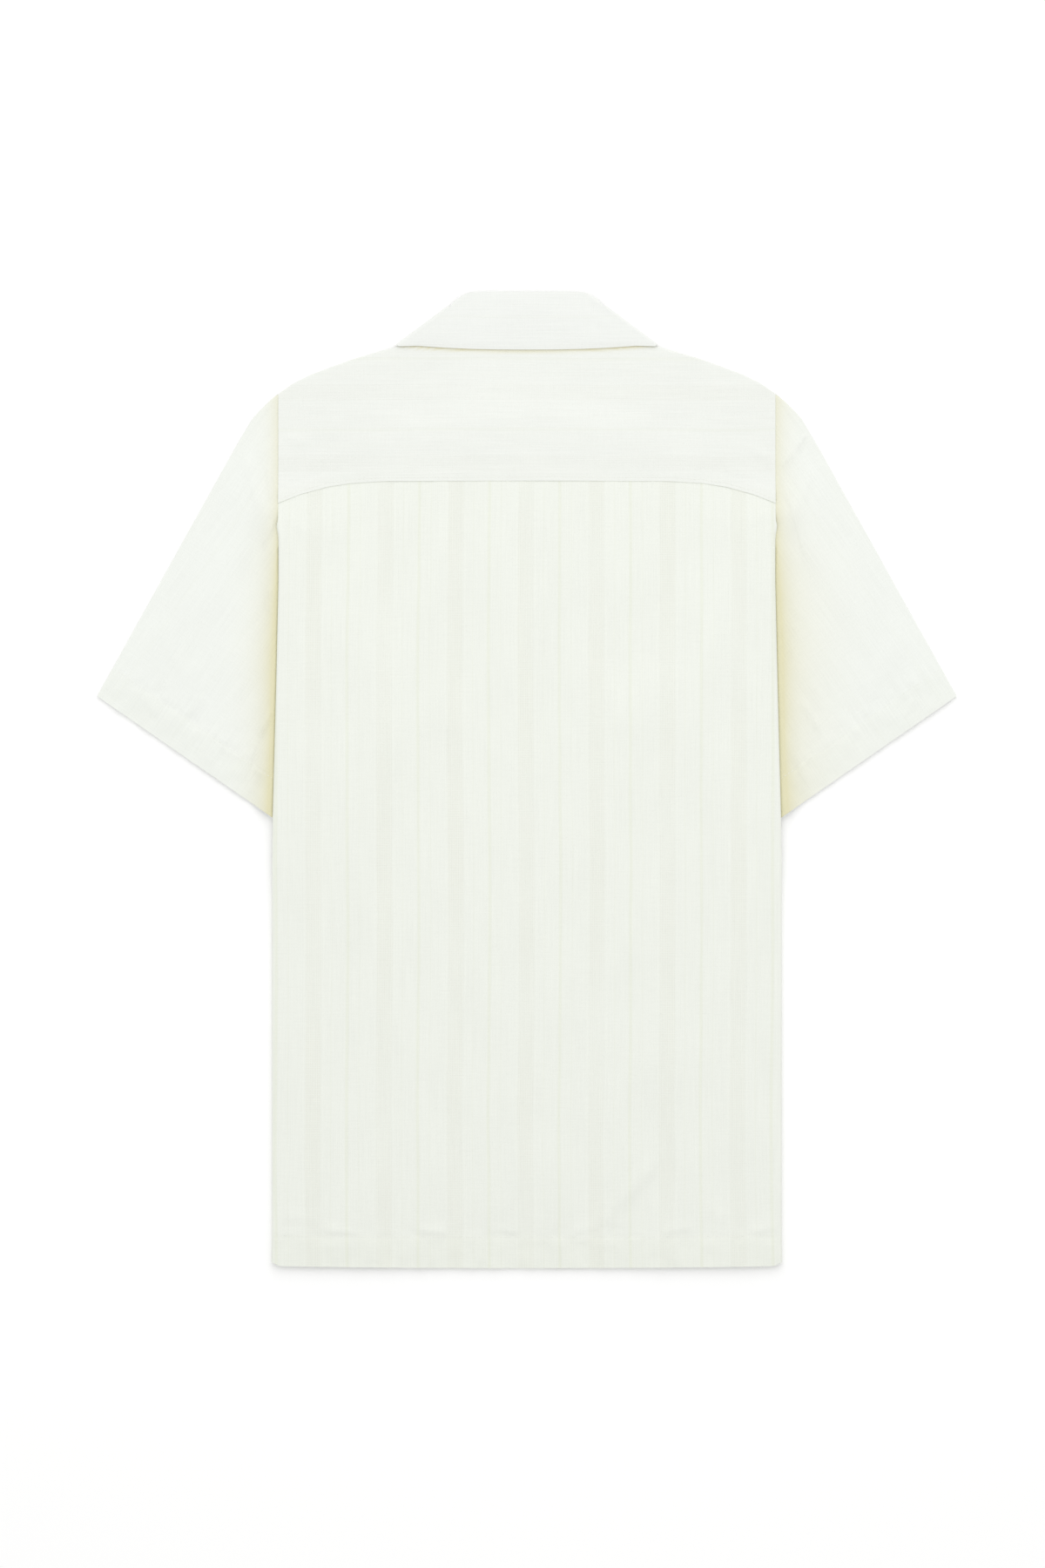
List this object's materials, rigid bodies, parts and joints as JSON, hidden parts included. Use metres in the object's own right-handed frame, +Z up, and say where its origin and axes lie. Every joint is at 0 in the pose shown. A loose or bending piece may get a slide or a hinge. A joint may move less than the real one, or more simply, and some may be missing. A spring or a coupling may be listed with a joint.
{
  "type": "short-sleeve shirt",
  "caption": "Short-sleeve button-front shirt with a camp collar and a back yoke, laid flat on its front with both sides tucked under.",
  "frame": {"origin": "centre of the shirt's flat outline, on the surface that it lies on", "axes": "+Y from the hem to the collar, +X to the wearer's right as the shirt lies on its front, +Z up out of the back"},
  "size_m": [0.6712, 0.7616, 0.0094],
  "materials": {
    "striped_cotton": "matt off-white cotton with a tonal woven stripe of dense lines and openwork bands",
    "button_resin": "satin off-white resin"
  },
  "bodies": {
    "root": {"back_panel": "striped_cotton", "yoke": "striped_cotton", "front_left": "striped_cotton", "front_right": "striped_cotton", "sleeve_left": "striped_cotton", "sleeve_right": "striped_cotton", "collar": "striped_cotton", "button_1": "button_resin", "button_2": "button_resin", "button_3": "button_resin", "button_4": "button_resin", "button_5": "button_resin"}
  },
  "joints": []
}
